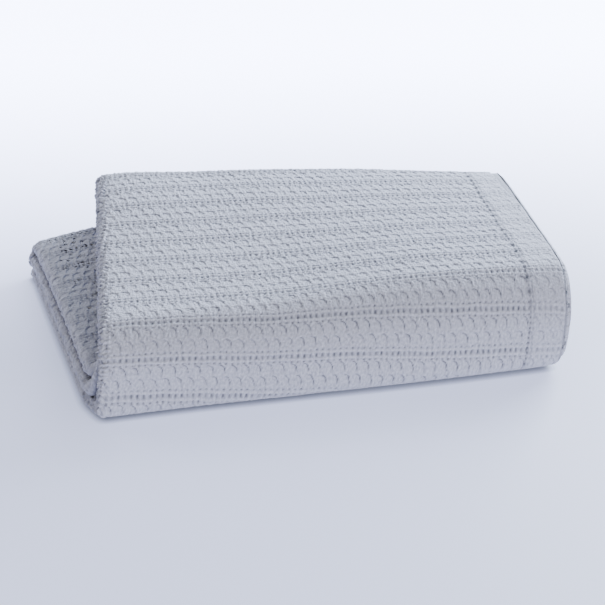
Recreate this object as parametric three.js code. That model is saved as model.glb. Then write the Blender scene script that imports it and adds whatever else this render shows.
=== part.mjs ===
// Waffle weave cotton blanket, folded into a soft rectangular stack.
//
// The blanket is one piece of cloth.  It is doubled twice across its width, so
// that it becomes a strip four layers deep, then the strip is folded in three
// passes and the whole pack is folded once more over its front edge.  The
// result is six passes of the strip, one on another, with a rounded front.
//
// Millimetres, +Z up.  X runs along the front fold, Y runs from front to back.
import * as THREE from 'three';

// ---------------------------------------------------------------- the cloth
const CLOTH = 3.0; // thickness over the raised waffle cells
const LAYER = 4.0; // one layer of the strip to the next
const PASS = 16.5; // one pass of the strip to the next
const STRIP_WIDTH = 438.0; // across the doubled strip, fold to hem
const HEM_STEP = 4.0; // the inner hem shows this far past the outer hem
const END_FOLD = 7.5; // centre of the rounded left folds, from the left edge

// ---------------------------------------------------------------- the stack
const PASSES = 6;
const STACK_HEIGHT = PASSES * PASS - (PASS - 3 * LAYER - CLOTH);
const MIDDLE = STACK_HEIGHT / 2; // height of the axis of the front fold
const FRONT_HALF = 40.0; // front fold, half width from its axis
const FRONT_AXIS = 31.0; // Y of the axis of the front fold
const UPPER_BACK = 334.0; // Y where the upper passes turn, at the left
const LOWER_BACK = 314.0; // Y where the lower passes turn, at the left
const LEAN = THREE.MathUtils.degToRad(5.6); // sideways lean of the strip
const BACK_SKEW = THREE.MathUtils.degToRad(8.0); // lean of the upper back edge
const SPREAD = 9e-5; // the strip widens by this share a millimetre
const LOOSE_END = 6.0; // the loose ends run this far past the turn
const TIP = { x: -42, y: 320, z: 16, reach: 14, pull: 3 }; // pulled back corner

// Each pass: radius of its mid line about the front fold, the side its first
// layer faces, its sideways slip under and over the front fold, and the angles
// of the fold between which it slips.
const PASS_TABLE = {
  outer: { radius: 41.25, side: 1, slipLow: -9, slipHigh: -1, from: -90, to: -30 },
  middle: { radius: 24.75, side: -1, slipLow: -11, slipHigh: 2, from: -90, to: 70 },
  inner: { radius: 8.25, side: 1, slipLow: -9, slipHigh: 4, from: -90, to: 90 },
};

// Height of the pressed-down stack at places on its top.
const HEIGHT_X = [-40, 30, 150, 330, 480];
const HEIGHT_ROWS = [
  { y: -20, z: [84, 84.5, 85, 93, 92] },
  { y: 60, z: [86, 87.5, 88, 97, 95] },
  { y: 130, z: [90, 93, 93, 97, 95] },
  { y: 200, z: [92, 98.5, 100, 99, 95] },
  { y: 260, z: [90, 104, 106, 102, 94] },
  { y: 330, z: [85, 105, 107, 102, 86] },
];

// How far the front face bulges forward along its length.
const BULGE_TABLE = [
  { x: -20, out: 2 },
  { x: 100, out: 3 },
  { x: 200, out: 8 },
  { x: 330, out: 13 },
  { x: 420, out: 12 },
  { x: 480, out: 8 },
];

// The right end lifts a little off the surface.
const LIFT = { from: 415, over: 40, height: 3.5 };

// ------------------------------------------------------------------ sampling
const ACROSS = [END_FOLD, 60, 125, 190, 255, 320, 382, STRIP_WIDTH - 3];
const ALONG = [0, 0.15, 0.36, 0.58, 0.8, 1];
const FRONT_ANGLES = [-90, -66, -52, -42, -26, -6, 14, 34, 54, 72, 90];
const TURN_ANGLES = [45, 90, 135];

const rad = THREE.MathUtils.degToRad;

// Smooth step from 0 to 1.
function ease(value) {
  const t = Math.min(Math.max(value, 0), 1);
  return t * t * (3 - 2 * t);
}

// Slopes of a smooth curve through the given stations.
function slopes(stations, values) {
  const last = stations.length - 1;
  return values.map((value, i) => {
    if (i === 0) return (values[1] - value) / (stations[1] - stations[0]);
    if (i === last) return (value - values[i - 1]) / (stations[i] - stations[i - 1]);
    const before = stations[i] - stations[i - 1];
    const after = stations[i + 1] - stations[i];
    const stepIn = (value - values[i - 1]) / before;
    const stepOut = (values[i + 1] - value) / after;
    return (stepIn * after + stepOut * before) / (before + after);
  });
}

// Value of that smooth curve at one place.
function curveAt(stations, values, place) {
  const last = stations.length - 1;
  const p = Math.min(Math.max(place, stations[0]), stations[last]);
  let i = 0;
  while (i < last - 1 && p >= stations[i + 1]) i += 1;
  const slope = slopes(stations, values);
  const h = stations[i + 1] - stations[i];
  const t = (p - stations[i]) / h;
  const t2 = t * t;
  const t3 = t2 * t;
  return (2 * t3 - 3 * t2 + 1) * values[i]
    + (t3 - 2 * t2 + t) * h * slope[i]
    + (3 * t2 - 2 * t3) * values[i + 1]
    + (t3 - t2) * h * slope[i + 1];
}

const ROW_Y = HEIGHT_ROWS.map((row) => row.y);

// Height of the stack's top at a place.
function stackHeight(x, y) {
  const across = HEIGHT_X.map((_, k) => curveAt(ROW_Y, HEIGHT_ROWS.map((row) => row.z[k]), y));
  return curveAt(HEIGHT_X, across, x);
}

const BULGE_X = BULGE_TABLE.map((row) => row.x);
const BULGE_OUT = BULGE_TABLE.map((row) => row.out);

// Press the ideal stack into its settled shape.
function settle(x, y, z) {
  const level = Math.min(Math.max(z / STACK_HEIGHT, 0), 1);
  const bulge = curveAt(BULGE_X, BULGE_OUT, x) * Math.sin(Math.PI * Math.sqrt(level));
  const y2 = y - bulge * (1 - ease(y / 140));
  const lift = LIFT.height * ease((x - LIFT.from) / LIFT.over) * (1 - level) ** 2 * ease((150 - y) / 100);
  const z2 = (z * stackHeight(x, y2)) / STACK_HEIGHT + lift;
  const far = ((x - TIP.x) ** 2 + (y2 - TIP.y) ** 2 + (z2 - TIP.z) ** 2) / TIP.reach ** 2;
  return [x - TIP.pull * Math.exp(-far), y2, z2];
}

// Sideways place of the cloth: u across the strip, run along it from the front.
function sideways(u, run) {
  return (u / Math.cos(LEAN)) * (1 + SPREAD * Math.max(run, 0)) + Math.tan(LEAN) * run;
}

// Sideways slip of a pass at an angle of the front fold.
function slip(pass, angle) {
  const k = ease((angle - rad(pass.from)) / rad(pass.to - pass.from));
  return pass.slipLow + (pass.slipHigh - pass.slipLow) * k;
}

// Y of the line where the strip turns at the back.
function backLine(half, u) {
  return half > 0 ? UPPER_BACK - u * Math.tan(BACK_SKEW) : LOWER_BACK + u * Math.sin(LEAN);
}

// A point of the strip in the front fold, at an angle from -90 to 90 degrees.
function inFront(pass, u, w, angle) {
  const radius = pass.radius + pass.side * w;
  const c = Math.cos(angle);
  const s = Math.sin(angle);
  const power = angle < 0 ? 8 : 2;
  const square = 1 / (Math.abs(c) ** power + Math.abs(s) ** power) ** (1 / power);
  const k = 1 + (square - 1) * (radius / MIDDLE) ** 1.5;
  const run = radius * angle;
  const x = sideways(u, run) + slip(pass, angle);
  return settle(x, FRONT_AXIS - radius * c * k * (FRONT_HALF / MIDDLE), MIDDLE + radius * s * k);
}

// A point of the strip in a flat pass, at a share of its length.
function inPass(pass, half, u, w, share, extra) {
  const radius = pass.radius + pass.side * w;
  const y = FRONT_AXIS + (backLine(half, u) + extra - FRONT_AXIS) * share;
  const run = half * ((Math.PI * radius) / 2 + y - FRONT_AXIS);
  const x = sideways(u, run) + slip(pass, (half * Math.PI) / 2);
  return settle(x, y, MIDDLE + half * radius);
}

// A point of the strip where two passes join at the back.
function inTurn(half, u, w, angle) {
  const upper = half > 0;
  const centre = upper ? 2 * PASS : PASS;
  const radius = PASS / 2 + (upper ? w : -w);
  const level = half * centre + radius * Math.cos(angle);
  const y = backLine(half, u);
  const run = half * ((Math.PI * Math.abs(level)) / 2 + y - FRONT_AXIS);
  const start = upper ? PASS_TABLE.outer.slipHigh : PASS_TABLE.inner.slipLow;
  const share = angle / Math.PI;
  const slipNow = start * (1 - share) + PASS_TABLE.middle[upper ? 'slipHigh' : 'slipLow'] * share;
  const out = radius * Math.sin(angle);
  const x = sideways(u, run) + slipNow + half * out * Math.sin(LEAN);
  return settle(x, y + out * Math.cos(LEAN), MIDDLE + level);
}

// The strip's section: the mid line of the cloth with the way its face looks.
// Layers 1 and 2 end in the two hems at the right; 1 joins 4 and 2 joins 3 by
// nested folds at the left, and 4 joins 3 by a fold at the right.
function sectionMidLine() {
  const line = [];
  const right = STRIP_WIDTH - 3;
  const back = [...ACROSS].reverse();
  const add = (u, w, nu, nw) => line.push({ u, w, nu, nw });
  back.forEach((u) => add(u === right ? STRIP_WIDTH : u, 1.5 * LAYER, 0, 1));
  [120, 150, 180, 210, 240].forEach((a) => {
    const c = Math.cos(rad(a));
    const s = Math.sin(rad(a));
    add(END_FOLD + 1.5 * LAYER * c, 1.5 * LAYER * s, c, s);
  });
  ACROSS.forEach((u) => add(u, -1.5 * LAYER, 0, -1));
  [-55, 0, 55].forEach((a) => {
    const c = Math.cos(rad(a));
    const s = Math.sin(rad(a));
    add(right + 0.5 * LAYER * c, -LAYER + 0.5 * LAYER * s, c, s);
  });
  back.forEach((u) => add(u, -0.5 * LAYER, 0, 1));
  [-120, 180, 120].forEach((a) => {
    const c = Math.cos(rad(a));
    const s = Math.sin(rad(a));
    add(END_FOLD + 0.5 * LAYER * c, 0.5 * LAYER * s, -c, -s);
  });
  ACROSS.forEach((u) => add(u === right ? STRIP_WIDTH + HEM_STEP : u, 0.5 * LAYER, 0, -1));
  return line;
}

// The section's closed outline: the cloth's face, then its back.
function sectionOutline() {
  const line = sectionMidLine();
  const half = CLOTH / 2;
  const face = line.map((p) => [p.u + half * p.nu, p.w + half * p.nw]);
  const under = line.map((p) => [p.u - half * p.nu, p.w - half * p.nw]);
  return [...face, ...under.reverse()];
}

// The strip's way through the stack, from the loose end on the surface to the
// loose end inside it.
function stations() {
  const { outer, middle, inner } = PASS_TABLE;
  const list = [];
  const flat = (pass, half, shares, extra) => shares.forEach((share) => {
    list.push((u, w) => inPass(pass, half, u, w, share, share === 1 ? extra : 0));
  });
  const front = (pass, angles) => angles.forEach((a) => {
    list.push((u, w) => inFront(pass, u, w, rad(a)));
  });
  const turn = (half, angles) => angles.forEach((a) => {
    list.push((u, w) => inTurn(half, u, w, rad(a)));
  });
  const outward = ALONG.slice(1);
  const homeward = [...ALONG].reverse().slice(0, -1);
  flat(outer, -1, homeward, LOOSE_END);
  front(outer, FRONT_ANGLES);
  flat(outer, 1, outward, 0);
  turn(1, TURN_ANGLES);
  flat(middle, 1, homeward, 0);
  front(middle, [...FRONT_ANGLES].reverse());
  flat(middle, -1, outward, 0);
  turn(-1, [...TURN_ANGLES].reverse());
  flat(inner, -1, homeward, 0);
  front(inner, FRONT_ANGLES);
  flat(inner, 1, outward, LOOSE_END);
  return list;
}

// Sweep the outline through the stations and close both ends.
function foldedCloth() {
  const outline = sectionOutline();
  const count = outline.length;
  const list = stations();
  const points = [];
  list.forEach((place) => outline.forEach(([u, w]) => points.push(...place(u, w))));
  const index = [];
  for (let i = 0; i < list.length - 1; i += 1) {
    for (let j = 0; j < count; j += 1) {
      const a = i * count + j;
      const b = i * count + ((j + 1) % count);
      index.push(a, b + count, b, a, a + count, b + count);
    }
  }
  const end = (list.length - 1) * count;
  for (let j = 0; j < count / 2 - 1; j += 1) {
    const k = count - 1 - j;
    index.push(j, k - 1, k, j, j + 1, k - 1);
    index.push(end + j, end + k, end + k - 1, end + j, end + k - 1, end + j + 1);
  }
  const geometry = new THREE.BufferGeometry();
  geometry.setAttribute('position', new THREE.Float32BufferAttribute(points, 3));
  geometry.setIndex(index);
  geometry.computeBoundingBox();
  const box = geometry.boundingBox;
  geometry.translate(-(box.min.x + box.max.x) / 2, -(box.min.y + box.max.y) / 2, -box.min.z);
  geometry.computeVertexNormals();
  return geometry;
}

const cotton = new THREE.MeshStandardMaterial({ color: 0xb9bcc6, roughness: 0.92, metalness: 0 });
cotton.name = 'grey_cotton';

const blanket = new THREE.Mesh(foldedCloth(), cotton);
blanket.name = 'blanket';

const part = new THREE.Group();
part.name = 'waffle_weave_blanket';
part.add(blanket);

export default part;
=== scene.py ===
# %% [markdown]
# # A folded waffle weave cotton blanket
#
# The object is one piece of cloth, about 1.8 m by 2.2 m, folded into a stack about 53 cm long,
# 39 cm deep and 11 cm high.  Two things make it look right: the way the cloth is folded, and the
# relief of its weave.  A cloth simulation could crease a sheet, but not lay six passes of four
# layers neatly one on another.  So both are worked out here with numpy, as functions of where a
# point lies on the flat cloth, and Blender only receives the finished points.

import math

import bpy
import numpy as np
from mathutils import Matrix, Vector


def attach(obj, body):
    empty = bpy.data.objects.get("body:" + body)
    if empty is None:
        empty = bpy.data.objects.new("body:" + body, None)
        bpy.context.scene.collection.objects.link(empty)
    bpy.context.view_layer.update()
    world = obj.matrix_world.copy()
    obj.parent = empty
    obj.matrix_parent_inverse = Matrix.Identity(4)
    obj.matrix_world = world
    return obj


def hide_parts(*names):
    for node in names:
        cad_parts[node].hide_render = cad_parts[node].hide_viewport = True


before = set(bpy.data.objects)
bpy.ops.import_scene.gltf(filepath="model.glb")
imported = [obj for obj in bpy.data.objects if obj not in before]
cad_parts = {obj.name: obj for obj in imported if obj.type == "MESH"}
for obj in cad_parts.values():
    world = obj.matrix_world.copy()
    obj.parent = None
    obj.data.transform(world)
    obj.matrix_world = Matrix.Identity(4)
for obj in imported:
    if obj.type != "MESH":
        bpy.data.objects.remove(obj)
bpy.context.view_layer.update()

# %% [markdown]
# ## Sizes
#
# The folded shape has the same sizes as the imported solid: a strip four layers deep, folded into
# six passes round a rounded front.  All lengths below are millimetres; they become metres only
# when a mesh is made.

# %% Sizes of the folded stack, in millimetres
LAYER = 4.0  # one layer of the strip to the next
FACE = 1.5 * LAYER  # from the strip's middle to the middle of its outermost layer
PASS = 16.5  # one pass of the strip to the next
WIDTH = 438.0  # the strip, from its rounded left fold to the hem
END_FOLD = 7.5  # centre of the rounded left folds, from the left edge
HEIGHT = 97.5  # the ideal stack, before it is pressed down
MIDDLE = HEIGHT / 2
FRONT_HALF = 40.0  # how far the front fold reaches forward of its axis
FRONT_AXIS = 31.0  # Y of that axis
UPPER_BACK, LOWER_BACK = 334.0, 314.0  # Y where the upper and the lower passes turn
LEAN = math.radians(5.6)  # each half leans this much from square, one to each side
BACK_SKEW = math.radians(8.0)  # how far the upper back edge is from square
SPREAD = 9e-5  # the upper half widens by this share in each millimetre to the back
LOOSE_END = 6.0  # the two loose ends stick out this far at the back
CENTRE = np.array([220.655, 175.046])  # middle of the box in plan

# radius is from the middle of the stack to the pass, and gauge is the radius on which its run is
# measured.  side is 1 where the strip's face looks outwards.  Over the front the pass slips
# sideways from low to high, between the angles begin and end.
PASSES = {
    "outer": dict(radius=2.5 * PASS, gauge=2.5 * PASS + FACE, side=1, low=-9, high=-1, begin=-90, end=-30),
    "middle": dict(radius=1.5 * PASS, gauge=1.5 * PASS, side=-1, low=-11, high=2, begin=-90, end=70),
    "inner": dict(radius=0.5 * PASS, gauge=0.5 * PASS, side=1, low=-9, high=4, begin=-90, end=90),
}

# height of the pressed stack at a few places: a row for each TOP_Y, a column for each TOP_X
TOP_X = np.array([-40.0, 30, 150, 330, 480])
TOP_Y = np.array([-20.0, 60, 130, 200, 260, 330])
TOP_Z = np.array(
    [
        [84, 84.5, 85, 93, 92],
        [86, 87.5, 88, 97, 95],
        [90, 93, 93, 97, 95],
        [92, 98.5, 100, 99, 95],
        [90, 104, 106, 102, 94],
        [85, 105, 107, 102, 86],
    ],
    float,
)
# how far the front bulges forward at a few places along it
BULGE_X = np.array([-20.0, 100, 200, 330, 420, 480])
BULGE_OUT = np.array([2.0, 3, 8, 13, 12, 8])
BULGE_FADE = 140.0  # how far in from the front the bulge is still felt
CORNER_LIFT = 3.5  # how far the lower right corner of the front is lifted
FAR_CORNER, CORNER_OUT, CORNER_WIDE = (-42, 320, 16), 3, 14  # the lower left one, drawn out
print("the ideal stack is", HEIGHT, "mm high, with", 2 * len(PASSES), "passes")

# %% [markdown]
# ## How a folded stack settles
#
# A stack of soft cloth is never a box.  It sinks where the hand pressed it, its front face bulges
# and a corner hangs.  So the stack is first made ideal, with level passes and round folds, and
# one smooth function then presses every point of it.  Because neighbouring layers are moved by
# the same function, they never cut through each other.

# %% Smooth curves through a few stations
def ease(value):
    """Smooth step: 0 below 0, 1 above 1, 3t^2 - 2t^3 between."""
    t = np.clip(value, 0, 1)
    return t * t * (3 - 2 * t)


def find_step(stations, place):
    """(number of the step that holds place, its length, share of it that lies before place)."""
    place = np.clip(place, stations[0], stations[-1])
    i = np.clip(np.searchsorted(stations, place, "right") - 1, 0, len(stations) - 2)
    step = stations[i + 1] - stations[i]
    return i, step, (place - stations[i]) / step


def hermite(t, step, low, low_slope, high, high_slope):
    """Cubic over one step: (2t^3 - 3t^2 + 1) low + (3t^2 - 2t^3) high, and a part for each slope."""
    value = (2 * t**3 - 3 * t**2 + 1) * low + (3 * t**2 - 2 * t**3) * high
    return value + step * ((t**3 - 2 * t**2 + t) * low_slope + (t**3 - t**2) * high_slope)


def curve_at(stations, values, place):
    """Cubic curve through the values, with central differences as its slopes."""
    i, step, t = find_step(stations, place)
    slope = np.gradient(values, stations)
    return hermite(t, step, values[i], slope[i], values[i + 1], slope[i + 1])


def stack_top(x, y):
    """Height of the pressed stack: a curve along Y at each TOP_X, then a curve along X through them."""
    rows = np.stack([curve_at(TOP_Y, TOP_Z[:, k], y) for k in range(len(TOP_X))])
    slope = np.gradient(rows, TOP_X, axis=0)
    i, step, t = find_step(TOP_X, x)

    def pick(table, k):
        return np.take_along_axis(table, k[None], 0)[0]

    return hermite(t, step, pick(rows, i), pick(slope, i), pick(rows, i + 1), pick(slope, i + 1))


def settle(x, y, z):
    """Press an ideal point, and put the middle of the stack at the origin.

    The front bulges by half a sine up its height, which fades out further in.  The height is
    scaled to stack_top.  The lower right corner lifts, and the far corner at the lower left is
    drawn out by a bell round it.
    """
    level = np.clip(z / HEIGHT, 0, 1)
    bulge = curve_at(BULGE_X, BULGE_OUT, x) * np.sin(np.pi * np.sqrt(level))
    y2 = y - bulge * (1 - ease(y / BULGE_FADE))
    lift = CORNER_LIFT * ease((x - 415) / 40) * (1 - level) ** 2 * ease((150 - y) / 100)
    z2 = z * stack_top(x, y2) / HEIGHT + lift
    far_x, far_y, far_z = FAR_CORNER
    far = ((x - far_x) ** 2 + (y2 - far_y) ** 2 + (z2 - far_z) ** 2) / CORNER_WIDE**2
    return np.stack([x - CORNER_OUT * np.exp(-far) - CENTRE[0], y2 - CENTRE[1], z2], -1)


print("pressed height over the middle:", round(float(stack_top(np.array(200.0), np.array(200.0))), 1))

# %% [markdown]
# ## A point of the folded cloth
#
# `u` runs across the strip, `w` through its depth and `run` along it, counted from the middle of
# the front fold.  A pass is a half round over the front, a level stretch to the back, and for the
# joined passes half a turn there.  One function covers all three, so the weave can be laid out in
# the flat cloth and carried over every fold without a seam.

# %% From the flat strip to the stack
def sideways(u, run):
    """X of the cloth: u across, widened a little to the back, plus the lean times the run."""
    return u / math.cos(LEAN) * (1 + SPREAD * np.maximum(run, 0)) + math.tan(LEAN) * run


def slip(leg, angle):
    """Sideways slip of a pass: low under the fold, high over it, eased between two angles."""
    begin, end = math.radians(leg["begin"]), math.radians(leg["end"])
    return leg["low"] + (leg["high"] - leg["low"]) * ease((angle - begin) / (end - begin))


def back_line(half, u):
    """Y of the line where the upper (1) or lower (-1) passes turn: straight, and a little askew."""
    return np.where(half > 0, UPPER_BACK - u * math.tan(BACK_SKEW), LOWER_BACK + u * math.sin(LEAN))


def strip_point(name, u, w, run, gauge):
    """Place of a strip point: angle = run / gauge round the front, then level, then round the back.

    The front is half a circle above and a superellipse of power 8 below, where the stack's own
    weight squares it off.  The inner passes, with their small radius, stay nearly round.
    """
    leg = PASSES[name]
    u, w, run = np.broadcast_arrays(*(np.asarray(a, float) for a in (u, w, run)))
    upper = run >= 0
    half = np.where(upper, 1.0, -1.0)
    radius = leg["radius"] + leg["side"] * w
    angle = np.clip(run / gauge, -np.pi / 2, np.pi / 2)
    forward, rise = np.maximum(np.cos(angle), 0), np.sin(angle)
    power = np.where(upper, 2.0, 8.0)
    square = (forward**power + np.abs(rise) ** power) ** (-1 / power)
    # known fault: where a cell of the inner pass stands over 2.25 mm high, its radius is below 0
    # and the power has no value, so mesh.validate() puts that point at the origin
    swell = 1 + (square - 1) * (radius / MIDDLE) ** 1.5
    # the level stretch ends at the back line where a pass is joined to another
    flat = np.maximum(np.abs(run) - gauge * np.pi / 2, 0)
    joined = {"outer": upper, "middle": upper | ~upper, "inner": ~upper}[name]
    line = back_line(half, u)
    past = np.where(joined, np.maximum(FRONT_AXIS + flat - line, 0), 0)
    x = sideways(u, radius * angle + half * flat) + slip(leg, angle)
    y = FRONT_AXIS + flat - past - radius * forward * swell * FRONT_HALF / MIDDLE
    z = MIDDLE + radius * rise * swell
    # round the back: the level changes from this pass to the one it joins
    bend = PASS / 2 + half * w
    turn = np.clip(past / (PASS / 2 + FACE), 0, np.pi)
    if name == "middle":
        turn = np.pi - turn
    level = half * np.where(upper, 2 * PASS, PASS) + bend * np.cos(turn)
    reach = half * (np.pi * np.abs(level) / 2 + line - FRONT_AXIS)
    share = turn / np.pi
    start = np.where(upper, PASSES["outer"]["high"], PASSES["inner"]["low"])
    stop = np.where(upper, PASSES["middle"]["high"], PASSES["middle"]["low"])
    out = bend * np.sin(turn)
    turned_x = sideways(u, reach) + start * (1 - share) + stop * share + half * out * math.sin(LEAN)
    on_turn = past > 0
    x = np.where(on_turn, turned_x, x)
    y = np.where(on_turn, line + out * math.cos(LEAN), y)
    z = np.where(on_turn, MIDDLE + level, z)
    return settle(x, y, z)


test = strip_point("outer", np.array([7.5]), np.array([7.5]), np.array([-60.0]), PASSES["outer"]["gauge"])
print("under the front fold the cloth rests at z =", round(float(test[0, 2]), 2), "mm")

# %% [markdown]
# ## The weave
#
# Waffle cloth has long floating threads over some places and tight plain weave in others, and it
# shrinks in the wash until the loose places puff up.  Here two rows of puffed cells, half a cell
# apart, lie between narrow open bands with small square holes.  A normal map could suggest this,
# but the cells also break up the folds' outlines, so they are real relief.  The height of the
# cloth is worked out as a function of the flat cloth's own two lengths, `q` across and `s` along.
# Every cell is steep at its right and upper edge, where the next thread dives under it, and that
# edge is kept as a separate value, `hollow`, which the material uses to paint shade into the deep
# places and a highlight onto the ridges.

# %% Drift and chance
CELL = 11.0  # one cell to the next in a row
REPEAT = 38.5  # one open band to the next
ROW_CENTRE = 12.9  # middle of a row of cells, from the middle of the band
ROW_TALL = 12.7  # length of a cell along s
BAND_PLACE = -17.0  # s of one open band
CLOTH_BASE = 0.55  # bottom of the weave over the middle of the cloth
PIT = 0.78  # depth of a cell


def wobble(a, b, seed, length):
    """Slow drift between -1 and 1: a mean of five sine waves with seeded directions and phases."""
    rng = np.random.default_rng(seed)
    total = 0
    for _ in range(5):
        turn, phase = rng.uniform(0, np.pi), rng.uniform(0, 2 * np.pi)
        reach = length * rng.uniform(0.7, 1.5)
        total = total + np.sin(2 * np.pi * (a * np.cos(turn) + b * np.sin(turn)) / reach + phase)
    return total / 5


def cell_random(i, j, seed):
    """A fixed number from 0 to 1 for cell i of row j: the fraction of a large sine."""
    value = np.sin(i * 127.1 + j * 311.7 + seed * 74.7) * 43758.5453
    return value - np.floor(value)


def bell(value, centre, width):
    """1 at centre, falling off as exp(-((value - centre) / width)^2)."""
    return np.exp(-(((value - centre) / width) ** 2))


# %% Height and hollows of the cells
def puffed_cells(q, s, v, band, level):
    """(height, hollow) of the two rows of cells; v is the distance along s from the band's middle.

    A cell is a rounded box: rho = (|ex|^2.8 + |ey|^2.8)^(1/2.8) is 0 at its centre and 1 on its
    edge.  Its floor falls along tilt, to the upper right, and a steep wall closes it there.
    """
    row = np.where(v > 0, 1.0, 0.0)
    along = np.where(v > 0, v - ROW_CENTRE, v + ROW_CENTRE)
    slant = 0.14 + 0.14 * wobble(q, s, 16, 60)
    a = q / CELL + 0.5 * row + slant * along / CELL
    i, j = np.floor(a + 0.5), 2 * band + row
    across = (a - i) * CELL + 0.5 * (cell_random(i, j, 6) - 0.5)
    tall = 0.75 + 0.45 * cell_random(i, j, 1)
    deep = 0.6 + 0.4 * cell_random(i, j, 2)
    ex, ey = across / (CELL / 2), along / (ROW_TALL / 2)
    rho = (np.abs(ex) ** 2.8 + np.abs(ey) ** 2.8) ** (1 / 2.8) + 0.09 * wobble(q, s, 18, 5)
    # on the front the cells look to the right, on the level top more away from it
    tilt = (0.84 - 0.26 * level) * ex + (0.5 + 0.34 * level) * ey
    floor_slope = 0.12 + 0.88 * ease((tilt + 0.75) / 1.5)
    height = 1.15 - PIT * tall * floor_slope * ease((1.02 - rho) / 0.19)
    # painted shade on the steep wall, which faces away from the light, and a painted highlight on the
    # ridge past it
    wall = bell(rho, 0.86, 0.09) * ease((tilt - 0.3) / 0.45)
    ridge_highlight = bell(rho, 1.03, 0.07) * ease((tilt - 0.2) / 0.5)
    return height, 0.95 * wall * deep - 0.3 * ridge_highlight


def weave(q, s, rough=1.0):
    """(height over the cloth's middle, hollow) at flat place q, s.

    hollow is painted shade: 1 in the deepest places and 0 on plain cloth; below 0 it is a painted
    highlight, down to -1 on ridges.  rough scales the small unevenness from thread to thread.
    """
    q = q + 1.2 * wobble(q, s, 11, 90) + 0.6 * wobble(q, s, 12, 22)
    level = ease((s - 60) / 60)
    s = s - BAND_PLACE + 1.5 * wobble(q, s, 13, 120) + 0.7 * wobble(q, s, 14, 24)
    band = np.floor(s / REPEAT + 0.5)
    v = s - band * REPEAT
    cell, dark = puffed_cells(q, s, v, band, level)
    # the open band: two fine ribs, a row of holes between them and a row of dots beside each
    pitch = CELL / 2
    k = np.floor(q / pitch + 0.5)
    mesh = q - k * pitch
    rib = bell(np.abs(v), 3.3, 0.7)
    hole = bell(mesh, 0, 1.1) * np.exp(-((np.abs(v) / 2.1) ** 4))
    hole = hole * (0.6 + 0.4 * cell_random(k, band, 3))
    row = np.where(v > 0, 1.0, 0.0)
    dots = bell(mesh, 0, 1.0) * bell(np.abs(v), 5.7, 0.9) * (0.6 + 0.4 * cell_random(k, band + row, 4))
    share = ease((6.6 - np.abs(v)) / 1.2)
    height = cell * (1 - share) + (0.7 + 0.7 * rib - hole) * share - 0.8 * dots
    # painted shade in the holes and a little over the band, and a painted highlight on the ribs; below,
    # painted shade in the dots
    dark = dark * (1 - share) + (0.85 * hole + 0.05 - 0.26 * rib) * share
    dark = np.where(dots > 0.1, np.maximum(dark, 0.95 * dots), dark)
    height = height + rough * (0.16 * wobble(q, s, 15, 6) + 0.55 * wobble(q, s, 17, 3.2))
    return CLOTH_BASE + height, np.clip(dark, -1, 1)


sample_q, sample_s = np.meshgrid(np.arange(0, 220, 1.0), np.arange(0, 220, 1.0), indexing="ij")
sample_height, _ = weave(sample_q, sample_s)
print("the weave stands from", sample_height.min().round(2), "to", sample_height.max().round(2), "mm")

# %% [markdown]
# ## The hem
#
# The edge at the right is a hem: the cloth is turned under and sewn down with two lines of
# stitches.  Over the hem the cloth is double, so it stands higher, and pressing has flattened its
# cells.  The stitches pull a narrow trench, darkened by painted shade, which reads as a fine dotted
# line on the front.  On the level top each row of cells ends at the seam in one larger pit, also
# darkened by painted shade.  The layer below the hem is a little wider, so it shows as a strip
# beyond the edge, with painted shade over it and a painted shadow line along the hem.  It could be
# a piece of its own, but it lies so close that a step in the same surface does as well.

# %% The hem's step and stitch lines
HEM_WIDE = 38.0  # from the hem's edge to its stitches
STITCH_LINES = (HEM_WIDE, HEM_WIDE - 3.2)
STITCH = 4.8  # one stitch to the next
ROW_STEP = REPEAT / 3  # one row of cells, or band, to the next
EDGE_ROUND = 1.6  # radius on which q goes round the hem's edge
HEM_EDGE = WIDTH - END_FOLD - EDGE_ROUND  # q of that edge


def darker(hollow, shade):
    """The larger of hollow and shade, both painted shade; a painted highlight (below 0) stays pale."""
    return np.maximum(hollow, shade + np.minimum(hollow, 0))


def hemmed(q, s, height, hollow, depth):
    """(height, hollow) with the hem: cells 0.6 as high, the whole 0.5 higher, and its stitches.

    depth is Y of the point, because the layer below shows further towards the back.
    """
    inside = HEM_EDGE - q + 0.8 * wobble(s, 0, 21, 60)
    over = ease((HEM_WIDE + 1.5 - inside) / 3.0)
    mean = CLOTH_BASE + 0.75
    level = ease((s - 40) / 50)
    height = height * (1 - over) + (mean + 0.6 * (height - mean) + 0.5) * over
    # less painted shade over the hem, where the cells are flatter
    hollow = hollow * (1 - 0.35 * over)
    prick = (0.5 + 0.5 * np.cos(2 * np.pi * s / STITCH)) ** 2
    # each line of stitches: a trench, with painted shade in it that is strongest at each stitch
    for stitches in STITCH_LINES:
        trench = bell(inside, stitches, 0.9)
        strength = 1.0 - 0.6 * level if stitches == HEM_WIDE else 0.45
        height = height - trench * (0.35 + 0.6 * prick)
        hollow = darker(hollow, trench * strength * (0.25 + 0.75 * prick))
    # at the seam one larger pit for each row, darkened by painted shade
    row = np.floor(s / ROW_STEP + 0.5)
    aside = s - row * ROW_STEP - 3 * (cell_random(row, 0, 8) - 0.5)
    pit = bell(aside, 0, 3.1) * bell(inside, HEM_WIDE, 2.4) * (0.8 + 0.2 * cell_random(row, 0, 9)) * level
    height = height - 0.6 * pit
    hollow = darker(hollow, 0.95 * pit)
    edge = ease((q - HEM_EDGE + 3) / 3)
    height = height * (1 - edge) + 1.6 * edge
    # the wider layer below: lower, with painted shade over it and a painted shadow line where the hem ends
    # on it
    beyond = HEM_EDGE + 1 - q
    wide = 3.4 + 6.5 * ease((depth + 10) / 60) + 0.7 * wobble(s, 0, 22, 35)
    lower = ease(wide - beyond)
    height = height * (1 - lower) + 0.5 * lower
    shade = np.maximum(0.28 * lower, 0.6 * bell(beyond, wide - 1.0, 1.1))
    return height, np.clip(darker(hollow, shade), -1, 1)


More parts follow.
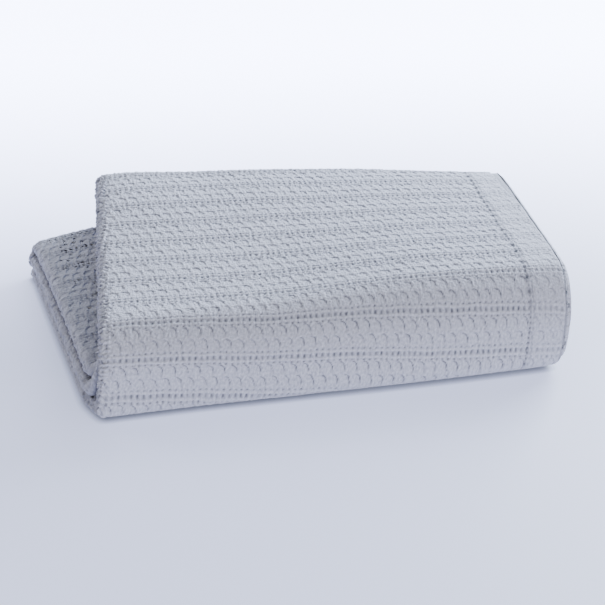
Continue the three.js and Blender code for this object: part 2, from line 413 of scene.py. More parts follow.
print("the hem is", HEM_WIDE, "mm wide, with", len(STITCH_LINES), "lines of stitches", STITCH, "mm apart")

# %% [markdown]
# ## Faces of the strip
#
# The cloth that shows is the outer face of the strip: its top layer, the rounded fold at its left
# and the layer below.  `face_point` walks that face with one length `q`.  From 0 to the right it
# is the flat layer; below 0 it goes round the left fold; past the hem it goes round the hem's edge.

# %% One length across the strip's outer face
def base_u(q):
    """Place across the strip of the cloth's middle at face length q."""
    turn = np.clip(-q / FACE, 0, np.pi)
    under = np.maximum(-q - FACE * np.pi, 0)
    flat = END_FOLD + np.clip(q, 0, HEM_EDGE)
    return np.where(q < 0, END_FOLD - FACE * np.sin(turn) + under, flat)


def face_point(name, q, s, height):
    """Place of face point q, s: u and w follow the face, run = s cos(lean) - u sin(lean)."""
    turn = np.clip(-q / FACE, 0, np.pi)
    under = np.maximum(-q - FACE * np.pi, 0)
    edge = np.clip((q - HEM_EDGE) / EDGE_ROUND, 0, np.pi)
    reach = FACE + height
    u = np.where(q < 0, END_FOLD - reach * np.sin(turn) + under, END_FOLD + np.clip(q, 0, HEM_EDGE))
    w = np.where(q < 0, reach * np.cos(turn), reach)
    u = np.where(q > HEM_EDGE, u + height * np.sin(edge), u)
    w = np.where(q > HEM_EDGE, FACE + height * np.cos(edge), w)
    run = s * math.cos(LEAN) - base_u(q) * math.sin(LEAN)
    points = strip_point(name, u, w, run, PASSES[name]["gauge"])
    points[..., 2] = np.maximum(points[..., 2], 0.0)
    return points


print("the face of the strip is", round(HEM_EDGE + FACE * math.pi), "mm across, with its left fold")

# %% [markdown]
# ## Making a mesh from a grid
#
# A fine grid carries the weave.  To be a closed body it also needs a back and a rim, but nothing
# sees those, so the back uses every twelfth point only and each rim fans from the fine edge to the
# coarse one.  A Solidify modifier would close it too, with twice the triangles.  The points'
# normals are taken from the whole grid before it is cut into pieces, so that the pieces meet
# without a visible line.

# %% One object from whole arrays
ROOT = "root"  # the one body: cloth has no joints


def new_piece(name, points, faces, material, uv, hollow, normals=None):
    """An object from points in mm and a list of index arrays (quads or triangles)."""
    mesh = bpy.data.meshes.new(name)
    counts = np.concatenate([np.full(len(f), f.shape[1], np.int32) for f in faces])
    corners = np.concatenate([f.ravel() for f in faces]).astype(np.int32)
    starts = np.concatenate([[0], np.cumsum(counts)[:-1]]).astype(np.int32)
    mesh.vertices.add(len(points))
    mesh.vertices.foreach_set("co", (points / 1000.0).astype(np.float32).ravel())
    mesh.loops.add(len(corners))
    mesh.loops.foreach_set("vertex_index", corners)
    mesh.polygons.add(len(counts))
    mesh.polygons.foreach_set("loop_start", starts)
    mesh.polygons.foreach_set("use_smooth", np.ones(len(counts), bool))
    layer = mesh.uv_layers.new(name="weave")
    layer.data.foreach_set("uv", (uv[corners] / 1000.0).astype(np.float32).ravel())
    # hollow carries the painted shade (above 0) and painted highlight (below 0) that the material draws
    depth = mesh.attributes.new("hollow", "FLOAT", "POINT")
    depth.data.foreach_set("value", hollow.astype(np.float32))
    mesh.update(calc_edges=True)
    mesh.validate()
    if normals is not None:
        mesh.normals_split_custom_set_from_vertices(normals.astype(float).tolist())
    mesh.materials.append(material)
    piece = bpy.data.objects.new(name, mesh)
    bpy.context.collection.objects.link(piece)
    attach(piece, ROOT)
    print(f"{name}: {int((counts - 2).sum())} triangles")
    return piece


# %% Faces and normals of a grid
def grid_quads(ids):
    """Quads of a grid of point numbers, row by row."""
    a, b, c, d = ids[:-1, :-1], ids[1:, :-1], ids[1:, 1:], ids[:-1, 1:]
    return np.stack([a.ravel(), b.ravel(), c.ravel(), d.ravel()], 1)


def fan_rim(fine, coarse):
    """Triangles between a fine edge and a coarse one: each fine point joins its nearest coarse one."""
    step = (len(fine) - 1) / (len(coarse) - 1)
    near = coarse[np.round(np.arange(len(fine)) / step).astype(int)]
    a = np.stack([fine[:-1], fine[1:], near[1:]], 1)
    b = np.stack([fine[:-1], near[1:], near[:-1]], 1)
    return np.concatenate([a, b[near[1:] != near[:-1]]])


def grid_normals(points):
    """Unit normals of a grid: the cross product of its two central differences."""
    normals = np.cross(np.gradient(points, axis=0), np.gradient(points, axis=1))
    return normals / (np.linalg.norm(normals, axis=-1, keepdims=True) + 1e-12)


# %% [markdown]
# ## Laying the weave on the strip
#
# The outer face has been handled and pressed: its cells are worn soft and its left fold is
# ragged.  The sheltered faces inside keep deeper, cleaner cells.  Both are laid by one function,
# with a small set of numbers for each kind of face.

# %% The two kinds of face
STEP = 0.96  # mm from one point of the woven grids to the next
COARSE = 12  # the back has one point for so many of the face
BACK_DEPTH = -0.8  # mm, the back lies inside the cloth
THREAD_HEIGHT = 0.12  # mm, unevenness from thread to thread
MEAN_HEIGHT = 1.3  # mm, height about which the relief is scaled

# rough: thread unevenness; lowest: mm, the floor of a pit; shade: strength of the painted shade
# and highlight in hollow; ragged: mm, unevenness round the left fold
OUTER_FACE = dict(rough=1.0, lowest=0.2, shade=1.0, ragged=2.6)
INNER_FACE = dict(rough=0.3, lowest=0.6, shade=0.45, ragged=0.8)


def steps(low, high):
    """Numbers from low to high about STEP apart, in a count of twelves plus one."""
    count = max(int(round((high - low) / STEP / COARSE)), 1) * COARSE
    return np.linspace(low, high, count + 1)


def threads(shape, seed):
    """Uneven threads: random heights, each averaged with its two neighbours along s."""
    loose = np.random.default_rng(seed).normal(size=(shape[0], shape[1] + 2))
    return (loose[:, :-2] + loose[:, 1:-1] + loose[:, 2:]) / math.sqrt(3)


def woven_height(leg, q, s, kind, relief, crease, way, sink):
    """(height, hollow) of a woven face, with its fold, its borders and its weight on the table.

    The height is MEAN_HEIGHT + relief times the weave's departure from it.  Round the left fold
    it grows uneven.  sink is 0 on a border that dips under its neighbour and 1 elsewhere.
    """
    height, hollow = weave(q, way * s, kind["rough"])
    height = MEAN_HEIGHT + relief * (height - MEAN_HEIGHT + THREAD_HEIGHT * threads(height.shape, 41))
    height = np.maximum(height, kind["lowest"])
    hollow = hollow * kind["shade"]
    flat = face_point(leg, q, s, np.full(q.shape, 1.0))
    if kind is OUTER_FACE:
        height, hollow = hemmed(q, s, height, hollow, flat[..., 1])
    height = height + 0.3 * wobble(q, s, 31, 70)
    # the left fold: flatter cells, pulled in a little, and uneven at two scales
    bent = ease((6 - q) / 8) * ease((q + FACE * np.pi + 10) / 10)
    height = 1.0 + (height - 1.0) * (1 - 0.2 * bent) - 0.35 * bent
    height = height + bent * (kind["ragged"] * wobble(q, s, 32, 4) + 0.8 * wobble(0.4 * q, s, 33, 11))
    height = height * sink - 0.3 * (1 - sink)
    # painted shade: folds that lie on each other are darkened beside the crease between them
    hollow = darker(hollow, crease * np.maximum(ease((q + 5) / 4), ease((-15 - q) / 4)))
    # near the table the stack's weight presses the weave flat
    rest = flat[..., 2]
    pressed = 1 - 0.7 * ease((11 - rest) / 7)
    height = 0.9 + (height - 0.9) * pressed - 1.2 * ease((4.5 - rest) / 4)
    return height, hollow * pressed


# %% A woven piece on the strip
EDGE_FADE = (6, 6, 0, 0)  # mm, how far each border sinks: low q, high q, first run, last run


def woven_piece(
    name,
    leg,
    q,
    first,
    last,
    kind=INNER_FACE,
    relief=1.6,
    crease=0.0,
    way=-1,
    step=STEP,
    fade=EDGE_FADE,
    cuts=1,
):
    """A woven piece over q, from run first(q) to last(q), cut along its run into so many objects.

    way is -1 where the cloth's other face shows, whose pockets look the other way along s.
    """
    count = max(int(round(float(np.mean(last - first)) / step / COARSE)), 1) * COARSE
    share = np.linspace(0, 1, count + 1)
    qq = np.broadcast_to(q[:, None], (len(q), count + 1))
    run = first[:, None] + (last - first)[:, None] * share
    ss = (run + base_u(qq) * math.sin(LEAN)) / math.cos(LEAN)
    sink = np.ones_like(run)
    gaps = (qq - q[0], q[-1] - qq, run - first[:, None], last[:, None] - run)
    for length, gap in zip(fade, gaps):
        if length:
            sink = sink * ease(gap / length)
    height, hollow = woven_height(leg, qq, ss, kind, relief, crease, way, sink)
    points = face_point(leg, qq, ss, height)
    coarse_q, coarse_s = qq[::COARSE, ::COARSE], ss[::COARSE, ::COARSE]
    back = face_point(leg, coarse_q, coarse_s, np.full(coarse_q.shape, BACK_DEPTH))
    normals = grid_normals(points)
    outwards = face_point(leg, qq, ss, height + 1) - points
    flip = (normals * outwards).sum() < 0
    if flip:
        normals = -normals
    uv = np.stack([qq, ss], -1)
    marks = np.round(np.linspace(0, count // COARSE, cuts + 1)).astype(int) * COARSE
    for k, (lo, hi) in enumerate(zip(marks[:-1], marks[1:] + 1), 1):
        fine, few = np.s_[:, lo:hi], np.s_[::COARSE, lo:hi:COARSE]
        top, low = points[fine], back[:, lo // COARSE : (hi - 1) // COARSE + 1]
        ids = np.arange(top[..., 0].size).reshape(top.shape[:2])
        under = ids.size + np.arange(low[..., 0].size).reshape(low.shape[:2])
        rims = [
            fan_rim(ids[:, 0], under[:, 0])[:, ::-1],
            fan_rim(ids[:, -1], under[:, -1]),
            fan_rim(ids[0, :], under[0, :]),
            fan_rim(ids[-1, :], under[-1, :])[:, ::-1],
        ]
        faces = [np.concatenate([grid_quads(ids), grid_quads(under)[:, ::-1]]), np.concatenate(rims)]
        if flip:
            faces = [f[:, ::-1] for f in faces]
        new_piece(
            name if cuts == 1 else f"{name}_{k}",
            np.concatenate([top.reshape(-1, 3), low.reshape(-1, 3)]),
            faces,
            cotton_woven,
            np.concatenate([uv[fine].reshape(-1, 2), uv[few].reshape(-1, 2)]),
            np.concatenate([hollow[fine].ravel(), np.zeros(under.size)]),
            np.concatenate([normals[fine].reshape(-1, 3), -normals[few].reshape(-1, 3)]),
        )


# %% [markdown]
# ## Cotton
#
# The cloth is soft-spun cotton, dyed a light cool grey.  Cotton is matte: each thread is a bundle
# of fine fibres, so light leaves it in every direction and its edges glow a little, which sheen
# gives.  Painted shade makes the deep places between the cells bluer and darker, and a painted
# highlight makes the ridges paler.  Both come from the `hollow` value of the mesh, so they follow
# the cloth round its folds.  The real threads are about 0.6 mm apart, too fine to show, so the
# noise that stands for them is drawn about three times as coarse.

# %% Nodes and colours
def linear(code):
    """sRGB hex to linear colour: ((c + 0.055) / 1.055) ^ 2.4, or c / 12.92 when dark."""
    parts = [int(code[i : i + 2], 16) / 255 for i in (1, 3, 5)]
    return tuple(c / 12.92 if c <= 0.04045 else ((c + 0.055) / 1.055) ** 2.4 for c in parts) + (1.0,)


def node(tree, kind, settings=None, inputs=None, output=0):
    """Adds a node, sets its properties, sets or links its inputs, and returns one of its outputs."""
    added = tree.nodes.new("ShaderNode" + kind)
    for key, value in (settings or {}).items():
        setattr(added, key, value)
    for key, value in (inputs or {}).items():
        if isinstance(value, bpy.types.NodeSocket):
            tree.links.new(value, added.inputs[key])
        else:
            added.inputs[key].default_value = value
    return added.outputs[output] if added.outputs else None


PLUS, MINUS, TIMES = {"operation": "ADD"}, {"operation": "SUBTRACT"}, {"operation": "MULTIPLY"}
CLAMPED = {"use_clamp": True}
COLOURS = {"data_type": "RGBA"}
COTTON, COTTON_PALE = "#8D909F", "#A7AABB"  # the dyed thread, from one place to the next
COTTON_PIT_SHADE = "#343744"  # painted shade, in the deepest pits
COTTON_RIDGE_HIGHLIGHT = "#C0C3D2"  # painted highlight, on the ridges
BAND_HALF, HOLE_HALF, HOLE_SHARE = 6.2, 2.1, 0.24  # the open band and its holes, as drawn by nodes
MM = 1000.0  # the UV map is in metres, and patterns are laid out in millimetres
print("cotton is about", [round(c, 2) for c in linear(COTTON)[:3]], "in linear light")


# %% The weave as a pattern
def plain_weave(tree, place):
    """(relief, hollow) of the weave drawn by nodes, for cloth that only shows from behind.

    relief is 1 on a cell, less on the band and least in its holes; painted shade, hollow, is 1.6 (0.35 -
    relief).
    """
    split = node(tree, "SeparateXYZ", {}, {"Vector": place}).node
    q = node(tree, "Math", TIMES, {0: split.outputs["X"], 1: MM / CELL})
    s = node(tree, "Math", TIMES, {0: split.outputs["Y"], 1: MM / REPEAT})
    # v runs from -0.5 to 0.5 over one repeat, with the open band in its middle
    shifted = node(tree, "Math", PLUS, {0: s, 1: 0.5})
    v = node(tree, "Math", MINUS, {0: node(tree, "Math", {"operation": "FRACT"}, {0: shifted}), 1: 0.5})
    far = node(tree, "Math", {"operation": "ABSOLUTE"}, {0: v})
    # a cell is 1 - |2a|^5 across times 1 - |1.9b|^4 along, and every other row is half a cell on
    row = node(tree, "Math", {"operation": "GREATER_THAN"}, {0: v, 1: 0.0})
    a = node(tree, "Math", {"operation": "MULTIPLY_ADD"}, {0: row, 1: 0.5, 2: q})
    a = node(tree, "Math", {"operation": "FRACT"}, {0: a})
    a = node(tree, "Math", MINUS, {0: a, 1: 0.5})
    a = node(tree, "Math", {"operation": "ABSOLUTE"}, {0: node(tree, "Math", TIMES, {0: a, 1: 2.0})})
    a = node(tree, "Math", {"operation": "POWER"}, {0: a, 1: 5.0})
    b = node(tree, "Math", MINUS, {0: far, 1: ROW_CENTRE / REPEAT})
    b = node(tree, "Math", TIMES, {0: b, 1: REPEAT / ROW_TALL})
    b = node(tree, "Math", {"operation": "ABSOLUTE"}, {0: node(tree, "Math", TIMES, {0: b, 1: 1.9})})
    b = node(tree, "Math", {"operation": "POWER"}, {0: b, 1: 4.0})
    across = node(tree, "Math", MINUS, {0: 1.0, 1: a})
    along = node(tree, "Math", MINUS | CLAMPED, {0: 1.0, 1: b})
    puff = node(tree, "Math", TIMES, {0: across, 1: along})
    # the open band, with holes at half the cells' pitch
    band = node(tree, "Math", {"operation": "LESS_THAN"}, {0: far, 1: BAND_HALF / REPEAT})
    mesh = node(tree, "Math", {"operation": "FRACT"}, {0: node(tree, "Math", TIMES, {0: q, 1: 2.0})})
    mesh = node(tree, "Math", MINUS, {0: mesh, 1: 0.5})
    mesh = node(tree, "Math", {"operation": "ABSOLUTE"}, {0: mesh})
    narrow = node(tree, "Math", {"operation": "LESS_THAN"}, {0: mesh, 1: HOLE_SHARE})
    near = node(tree, "Math", {"operation": "LESS_THAN"}, {0: far, 1: HOLE_HALF / REPEAT})
    hole = node(tree, "Math", TIMES, {0: narrow, 1: near})
    cell = node(tree, "Math", TIMES, {0: puff, 1: node(tree, "Math", MINUS, {0: 1.0, 1: band})})
    base = node(tree, "Math", TIMES, {0: band, 1: 0.45})
    open_part = node(tree, "Math", TIMES, {0: hole, 1: 0.45})
    relief = node(tree, "Math", MINUS, {0: node(tree, "Math", PLUS, {0: cell, 1: base}), 1: open_part})
    gap = node(tree, "Math", MINUS | CLAMPED, {0: 0.35, 1: relief})
    return relief, node(tree, "Math", TIMES | CLAMPED, {0: gap, 1: 1.6})


# %% Cotton materials
def cotton(name, woven):
    """Grey cotton.  woven says that the mesh carries the weave; otherwise bump and colour do."""
    material = bpy.data.materials.new(name)
    material.use_nodes = True
    tree = material.node_tree
    tree.nodes.clear()
    place = node(tree, "TexCoord", output="UV")
    if woven:
        hollow = node(tree, "Attribute", {"attribute_name": "hollow"}, output="Fac")
    else:
        relief, hollow = plain_weave(tree, place)
    # colour: the dyed thread varies from one place to the next, over 2 to 3 mm
    grain = node(tree, "Mapping", {}, {"Vector": place, "Scale": (MM / 2.2, MM / 3.0, 1.0)})
    mottle = node(tree, "TexNoise", {}, {"Vector": grain, "Scale": 1.0, "Detail": 3.0}, "Fac")
    mottle = node(tree, "MapRange", {}, {"Value": mottle, "From Min": 0.3, "From Max": 0.7}, "Result")
    threads_dyed = {"Factor": mottle, "A": linear(COTTON), "B": linear(COTTON_PALE)}
    dye_and_painted_light = node(tree, "Mix", COLOURS, threads_dyed, "Result")
    # painted highlight on the ridges, where hollow is below 0, and painted shade in the pits, where it is
    # above 0
    ridge_highlight = node(tree, "Math", TIMES, {0: hollow, 1: -1.0})
    dye_and_painted_light = node(tree, "Mix", COLOURS, {"Factor": ridge_highlight, "A": dye_and_painted_light, "B": linear(COTTON_RIDGE_HIGHLIGHT)}, "Result")
    depth = node(tree, "Math", TIMES | CLAMPED, {0: hollow, 1: 1.1})
    dye_and_painted_light = node(tree, "Mix", COLOURS, {"Factor": depth, "A": dye_and_painted_light, "B": linear(COTTON_PIT_SHADE)}, "Result")
    # relief: crinkled threads, longer along s than across
    fibre = node(tree, "Mapping", {}, {"Vector": place, "Scale": (MM / 1.7, MM / 3.2, 1.0)})
    crinkle = node(tree, "TexNoise", {}, {"Vector": fibre, "Scale": 1.0, "Detail": 4.0}, "Fac")
    bump = {"Strength": 1.0, "Distance": 0.0012, "Height": crinkle}
    if not woven:
        waffle = {"Strength": 0.9, "Distance": 0.0016, "Height": relief}
        bump["Normal"] = node(tree, "Bump", {}, waffle)
    matte = {"Roughness": 0.92, "IOR": 1.45, "Specular IOR Level": 0.25}
    sheen = {"Sheen Weight": 0.25, "Sheen Roughness": 0.5}
    looks = {"Base Color": dye_and_painted_light, "Normal": node(tree, "Bump", {}, bump)}
    node(tree, "OutputMaterial", {}, {"Surface": node(tree, "BsdfPrincipled", {}, matte | sheen | looks)})
    return material


cotton_woven = cotton("woven_cotton", True)
cotton_plain = cotton("woven_cotton_inside", False)
print("materials:", cotton_woven.name, cotton_plain.name)

# %% [markdown]
# ## The whole cloth
#
# The whole blanket is one closed body: the strip's section, four layers joined by round folds,
# swept through all six passes.  Where a woven piece lies on it, its face is kept a little lower so
# that it stays hidden underneath.

# %% The strip's section
HALF = 1.45  # half of the cloth's thickness
SUNK = -0.5  # face under a woven piece
NEAR, RIGHT = 30.0, 435.0  # u where the points get sparser, and where the folds at the right begin
COVERED, WIDE_COVER = 14, 99  # u up to which a narrow and a wide woven piece cover the cloth
HEM_TAPER, TAPER_LONG = 439, 3.2  # u where the hem's edge begins to round off, and over how much
INSIDE, TOP_LAYER, LEFT_FOLD, LOW_LAYER, HEM_LAYER = range(5)  # the parts of the section


def section():
    """The cloth's middle line as rows of u, w, the outward direction nu, nw, and its part."""
    flat = np.concatenate([np.linspace(END_FOLD, NEAR, 7)[:-1], np.linspace(NEAR, RIGHT, 19)])
    middle = LAYER / 2
    parts = []

    def add(u, w, nu, nw, part):
        parts.append(np.stack(np.broadcast_arrays(u, w, nu, nw, part), -1).astype(float))

    add(np.append(flat, 436.2)[::-1], FACE, 0.0, 1.0, TOP_LAYER)
    a = np.radians(np.arange(105, 256, 15))
    add(END_FOLD + FACE * np.cos(a), FACE * np.sin(a), np.cos(a), np.sin(a), LEFT_FOLD)
    add(flat, -FACE, 0.0, -1.0, LOW_LAYER)
    a = np.radians([-60, -30, 0, 30, 60])
    add(flat[-1] + 2 * np.cos(a), 2 * np.sin(a) - LAYER, np.cos(a), np.sin(a), INSIDE)
    add(flat[::-1], -middle, 0.0, 1.0, INSIDE)
    a = np.radians([240, 210, 180, 150, 120])
    add(END_FOLD + middle * np.cos(a), middle * np.sin(a), -np.cos(a), -np.sin(a), INSIDE)
    # the hem's layer is the longest, and ends in a few close points that round its edge
    add(np.append(flat, [438.5, 440.6, 441.6, 442.1]), middle, 0.0, -1.0, HEM_LAYER)
    return np.concatenate(parts)


# %% The way through the stack
def way_through():
    """Stations of the sweep: pass, half, and an angle, a share of the level, or a share of a turn."""
    stations = []
    front = np.radians(np.linspace(-90, 90, 31))
    level = np.linspace(0, 1, 17)[1:]
    bend = np.linspace(0, np.pi / 2, 6)[1:]
    for name, forwards in (("outer", True), ("middle", False), ("inner", True)):
        low = [(name, -1, "level", share) for share in level]
        high = [(name, 1, "level", share) for share in level]
        if name != "outer":
            low += [(name, -1, "bend", angle) for angle in bend]
        if name != "inner":
            high += [(name, 1, "bend", angle) for angle in bend]
        rows = low[::-1] + [(name, 0, "front", angle) for angle in front] + high
        rows = rows if forwards else rows[::-1]
        # a pass starts where the last one ended, so that station isn't repeated
        stations += rows[1:] if stations else rows
    return stations


def face_depth(name, half, kind, u, part):
    """Distance of the outer side from the middle line: HALF where bare, SUNK under woven pieces."""
    face = np.full(len(u), HALF)
    free = ease((u - COVERED) / 10)
    if name == "outer" and (half > 0 or kind == "front"):
        face = np.where(part == TOP_LAYER, SUNK, face)
    else:
        face = np.where(part == TOP_LAYER, SUNK + (HALF - SUNK) * free, face)
    face = np.where(part == LEFT_FOLD, SUNK, face)
    covered = WIDE_COVER if name == "inner" and half < 0 else COVERED
    bare = ease((u - covered) / 10)
    return np.where(part == LOW_LAYER, SUNK + (HALF - SUNK) * bare, face)


# %% Sweep it
BODY_GAUGE = 40.0  # one gauge for the whole strip, so that its layers stay side by side
u, w, nu, nw, part = section().T
hem_end = (part == HEM_LAYER) & (u > HEM_TAPER)
rounding = np.sqrt(np.maximum(1 - ((u - HEM_TAPER) / TAPER_LONG) ** 2, 0.02))
taper = np.where(hem_end, rounding, 1)
rings = []
for name, half, kind, value in way_through():
    loose = (name == "outer" and half < 0) or (name == "inner" and half > 0)
    if kind == "front":
        run = np.full(len(u), BODY_GAUGE * value)
    else:
        end = back_line(half, u) + (LOOSE_END if loose and value == 1 else 0)
        share = value if kind == "level" else 1.0
        run = half * (BODY_GAUGE * np.pi / 2 + (end - FRONT_AXIS) * share)
        if kind == "bend":
            run = run + half * value * (PASS / 2 + FACE)
    face = face_depth(name, half, kind, u, part)
    outer_side = strip_point(name, u + nu * face, w + nw * face * taper, run, BODY_GAUGE)
    inner_side = strip_point(name, u - nu * HALF, w - nw * HALF * taper, run, BODY_GAUGE)
    ring = np.concatenate([outer_side, inner_side[::-1]])
    ring[:, 2] = np.maximum(ring[:, 2], 0)
    rings.append(ring)
rings = np.array(rings)
print("the sweep has", len(rings), "rings of", rings.shape[1], "points")

# %% Close it
count, n = rings.shape[:2]
ids = np.arange(count * n).reshape(count, n)
side_faces = grid_quads(np.concatenate([ids, ids[:, :1]], 1))
j = np.arange(n // 2 - 1)
first_cap = np.stack([j, j + 1, n - 2 - j, n - 1 - j], 1)
last_cap = np.stack([j, n - 1 - j, n - 2 - j, j + 1], 1) + (count - 1) * n
faces = np.concatenate([side_faces, first_cap, last_cap])
every = rings.reshape(-1, 3)
a, b, c, d = (every[faces[:, k]] for k in range(4))
volume = float(np.einsum("ij,ij->", a, np.cross(b, c)) + np.einsum("ij,ij->", a, np.cross(c, d))) / 6
if volume < 0:
    faces = faces[:, ::-1]
# the weave's pattern: q is the length along the section, s the way along the fold's point 10,
# and the last ring lies so that the pattern meets that of the woven pieces
across = np.concatenate([[0], np.cumsum(np.hypot(np.diff(u), np.diff(w)))])
travelled = np.cumsum(np.linalg.norm(np.diff(rings[:, 10], axis=0), axis=1))
along = np.concatenate([[0], travelled]) - travelled[-1] + ROW_CENTRE
weave_q = np.concatenate([across, across[::-1]])
uv = np.stack(np.broadcast_arrays(weave_q[None], along[:, None]), -1).reshape(-1, 2)
cloth = new_piece("blanket_cloth", every, [faces], cotton_plain, uv, np.zeros(len(every)))
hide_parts("blanket")
print("volume of the cloth:", round(abs(volume) / 1e6, 2), "litres")

# %% [markdown]
# ## The woven pieces
#
# The face of the outer pass is the large one: from under the front fold, up the front, over the
# top and round the back, and from the hem at the right to round the fold at the left.  It is cut
# in three so that no object grows too large.  Narrow pieces follow the left folds of the other
# passes, and two wider ones cover the lower half, where the upper half leans away from it.

# %% Where a pass begins and ends
def front_end(name, half, q):
    """Run where the front fold meets the upper (1) or lower (-1) level stretch."""
    return np.full(len(q), half * PASSES[name]["gauge"] * np.pi / 2)


def back_end(name, half, q, past):
    """Run of the line so many mm past the back line of the upper (1) or lower (-1) half."""
    return front_end(name, half, q) + half * (back_line(half, base_u(q)) - FRONT_AXIS + past)


LEFT_UNDER = -FACE * np.pi  # q where the left fold meets the layer below
q_outer = steps(LEFT_UNDER - 9, HEM_EDGE + np.pi * EDGE_ROUND)
q_edge = steps(LEFT_UNDER - 9, 9.0)
q_low = steps(LEFT_UNDER - 92, 9.0)
q_far = np.linspace(LEFT_UNDER - 430, LEFT_UNDER - 86, 22 * COARSE + 1)
print("points across:", len(q_outer), "on the outer face,", len(q_edge), "on a left fold")

# %% The outer face and the fold below it
woven_piece(
    "weave_outer",
    "outer",
    q_outer,
    front_end("outer", -1, q_outer),
    back_end("outer", 1, q_outer, 36),
    kind=OUTER_FACE,
    relief=1.0,
    way=1,
    fade=(6, 0, 0, 6),
    cuts=3,
)
woven_piece(
    "weave_edge_below",
    "outer",
    q_edge,
    back_end("outer", -1, q_edge, 2),
    front_end("outer", -1, q_edge),
    crease=0.6,
)

# %% The left fold of the middle pass
woven_piece(
    "weave_edge_middle_low",
    "middle",
    q_edge,
    back_end("middle", -1, q_edge, 22),
    front_end("middle", -1, q_edge),
    crease=0.6,
)
woven_piece(
    "weave_edge_middle_front",
    "middle",
    q_edge,
    front_end("middle", -1, q_edge),
    front_end("middle", 1, q_edge),
    crease=0.75,
)
woven_piece(
    "weave_edge_middle_high",
    "middle",
    q_edge,
    front_end("middle", 1, q_edge),
    back_end("middle", 1, q_edge, 22),
    way=1,
)

# %% The inner pass: its top, which shows at the left and the back, and its left fold
woven_piece(
    "weave_inner_low",
    "inner",
    q_low,
    back_end("inner", -1, q_low, 22),
    front_end("inner", -1, q_low),
)
woven_piece(
    "weave_inner_far",
    "inner",
    q_far,
    back_end("inner", -1, q_far, 22),
    back_end("inner", -1, q_far, -125),
    relief=1.2,
    step=1.3,
    fade=(6, 6, 0, 6),
)
woven_piece(
    "weave_edge_inner_front",
    "inner",
    q_edge,
    front_end("inner", -1, q_edge),
    front_end("inner", 1, q_edge),
    crease=0.4,
)
woven_piece(
    "weave_edge_inner_high",
    "inner",
    q_edge,
    front_end("inner", 1, q_edge),
    back_end("inner", 1, q_edge, 2),
    way=1,
)

# %% [markdown]
# ## The table
#
# The blanket lies on a large pale table that glows, though it is no lamp: this glow is painted
# light.  It rises softly to the back, so the far table is almost white and the near table stays
# grey, and beside the cloth it is dimmed into a painted shadow.  A curved paper sweep with a light
# behind it would do the same, but its edge shows from the side.  The table is smooth but matt, so
# it shows no reflection of the cloth.

# %% Table with painted light
SMOOTH = {"interpolation_type": "SMOOTHSTEP"}
CONTACT_SHADOW_REACH, SHADE_REACH = 0.007, 0.09  # metres: the painted contact shadow all round, and the painted soft shadow at the left


def table_material():
    """Matt table whose glow is painted light: it rises along Y, sooner at the right.

    The glow is 1.48 in front and 12.2 far back, and fades again past the view.  Beside the cloth
    it is dimmed by what an ambient occlusion node finds near by, a painted shadow: in a thin line
    all round, and over a hand's width at the left, the side away from the light.
    """
    material = bpy.data.materials.new("table_with_painted_light")
    material.use_nodes = True
    tree = material.node_tree
    place = node(tree, "TexCoord", output="Object")
    split = node(tree, "SeparateXYZ", {}, {"Vector": place}).node
    askew = {0: split.outputs["X"], 1: 0.13, 2: split.outputs["Y"]}
    back = node(tree, "Math", {"operation": "MULTIPLY_ADD"}, askew)
    rise = {"Value": back, "From Min": -0.12, "From Max": 1.1, "To Min": 1.48, "To Max": 12.2}
    glow = node(tree, "MapRange", SMOOTH, rise, "Result")
    fall = {"Value": split.outputs["Y"], "From Min": 1.7, "From Max": 2.4, "To Min": 1.0, "To Max": 0.3}
    pool = node(tree, "MapRange", SMOOTH, fall, "Result")
    # painted contact shadow: the glow is dimmed in a thin line beside the cloth
    line = node(tree, "AmbientOcclusion", {"samples": 16}, {"Distance": CONTACT_SHADOW_REACH}, "AO")
    line = node(tree, "Math", {"operation": "POWER"}, {0: line, 1: 1.15})
    pool = node(tree, "Math", TIMES, {0: pool, 1: line})
    # painted shadow over a hand's width at the left of the cloth
    wide = node(tree, "AmbientOcclusion", {"samples": 16}, {"Distance": SHADE_REACH}, "AO")
    left = {"Value": split.outputs["X"], "From Min": -0.2, "From Max": -0.27, "To Min": 0.0, "To Max": 0.9}
    left = node(tree, "MapRange", SMOOTH, left, "Result")
    shade = node(tree, "Math", TIMES, {0: node(tree, "Math", MINUS, {0: 1.0, 1: wide}), 1: left})
    pool = node(tree, "Math", TIMES, {0: pool, 1: node(tree, "Math", MINUS, {0: 1.0, 1: shade})})
    shader = tree.nodes["Principled BSDF"]
    shader.inputs["Base Color"].default_value = linear("#696D7C")
    shader.inputs["Roughness"].default_value = 0.6
    # the colour of the painted glow
    shader.inputs["Emission Color"].default_value = linear("#CFD8FF")
    strength = node(tree, "Math", TIMES, {0: glow, 1: pool})
    tree.links.new(strength, shader.inputs["Emission Strength"])
    return material


REACH = 12.0  # metres to each side, so that no view sees the table's end
corners = [(-REACH, -REACH, 0.0), (REACH, -REACH, 0.0), (REACH, REACH, 0.0), (-REACH, REACH, 0.0)]
table_mesh = bpy.data.meshes.new("surface")
table_mesh.from_pydata(corners, [], [(0, 1, 2, 3)])
table_mesh.materials.append(table_material())
table = bpy.data.objects.new("surface", table_mesh)
bpy.context.collection.objects.link(table)

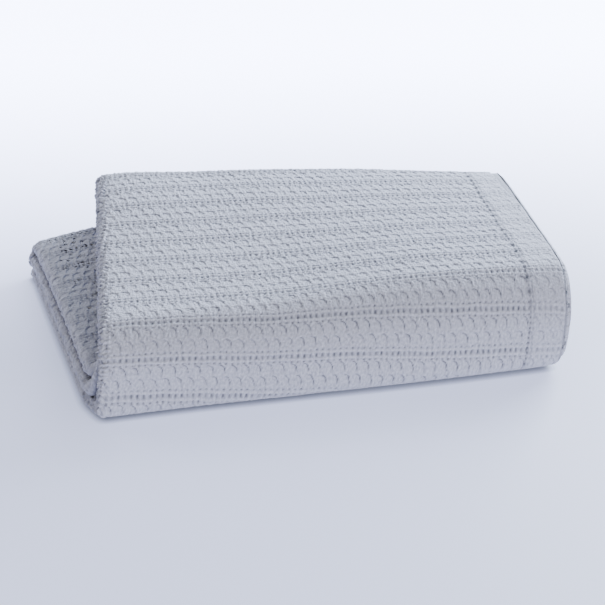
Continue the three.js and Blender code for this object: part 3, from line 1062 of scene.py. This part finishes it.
# %% [markdown]
# ## Light and camera
#
# The strongest light is a cool one behind and to the right, low enough to rake over the cells and
# show their relief.  A weak one stands high behind, and a warm, large one fills the front.  Two
# small ones at the left keep the lower half's folds from going black.

# %% Lights
def area_light(name, place, aim, size, watts, colour):
    """A rectangular area light at place, turned to aim."""
    data = bpy.data.lights.new(name, "AREA")
    data.shape = "RECTANGLE"
    data.size, data.size_y = size
    data.energy = watts
    data.color = colour
    light = bpy.data.objects.new(name, data)
    light.location = place
    light.rotation_euler = (Vector(aim) - Vector(place)).to_track_quat("-Z", "Y").to_euler()
    bpy.context.collection.objects.link(light)


STACK, LEFT_SIDE, LEFT_FRONT = (0, 0, 0.05), (-0.25, 0, 0.03), (-0.25, -0.1, 0.03)
COOL = (0.77, 0.865, 1.0)
area_light("back", (1.75, 1.25, 0.95), STACK, (1.2, 1.2), 280, COOL)
area_light("overhead", (0.35, 0.9, 1.55), STACK, (1.2, 1.2), 27, COOL)
area_light("fill", (1.5, -3.45, 0.76), STACK, (2.4, 1.6), 204, (1.0, 0.985, 0.97))
area_light("left", (-1.3, 1.1, 1.0), LEFT_SIDE, (0.5, 0.5), 17, (1.0, 0.97, 0.94))
area_light("low_left", (-1.3, -0.9, 0.3), LEFT_FRONT, (0.4, 0.4), 4, (1.0, 0.9, 0.76))
world = bpy.data.worlds.new("room")
bpy.context.scene.world = world
world.use_nodes = True
room = world.node_tree.nodes["Background"]
room.inputs["Color"].default_value = (1.0, 0.95, 0.88, 1.0)
room.inputs["Strength"].default_value = 0.2
print("lights:", len(bpy.data.lights))

# %% Camera
camera_data = bpy.data.cameras.new("camera")
camera_data.sensor_width = 36.0
camera_data.lens = 77.36  # a short telephoto, so that the stack's far end hardly shrinks
camera = bpy.data.objects.new("camera", camera_data)
aim = Vector((0.01095, 0.01137, 0.0))
camera.location = Vector((-0.28701, -1.19265, 0.60495))
camera.rotation_euler = (aim - camera.location).to_track_quat("-Z", "Y").to_euler()
bpy.context.collection.objects.link(camera)
bpy.context.scene.camera = camera
print("the camera stands", round((aim - camera.location).length, 2), "m away")
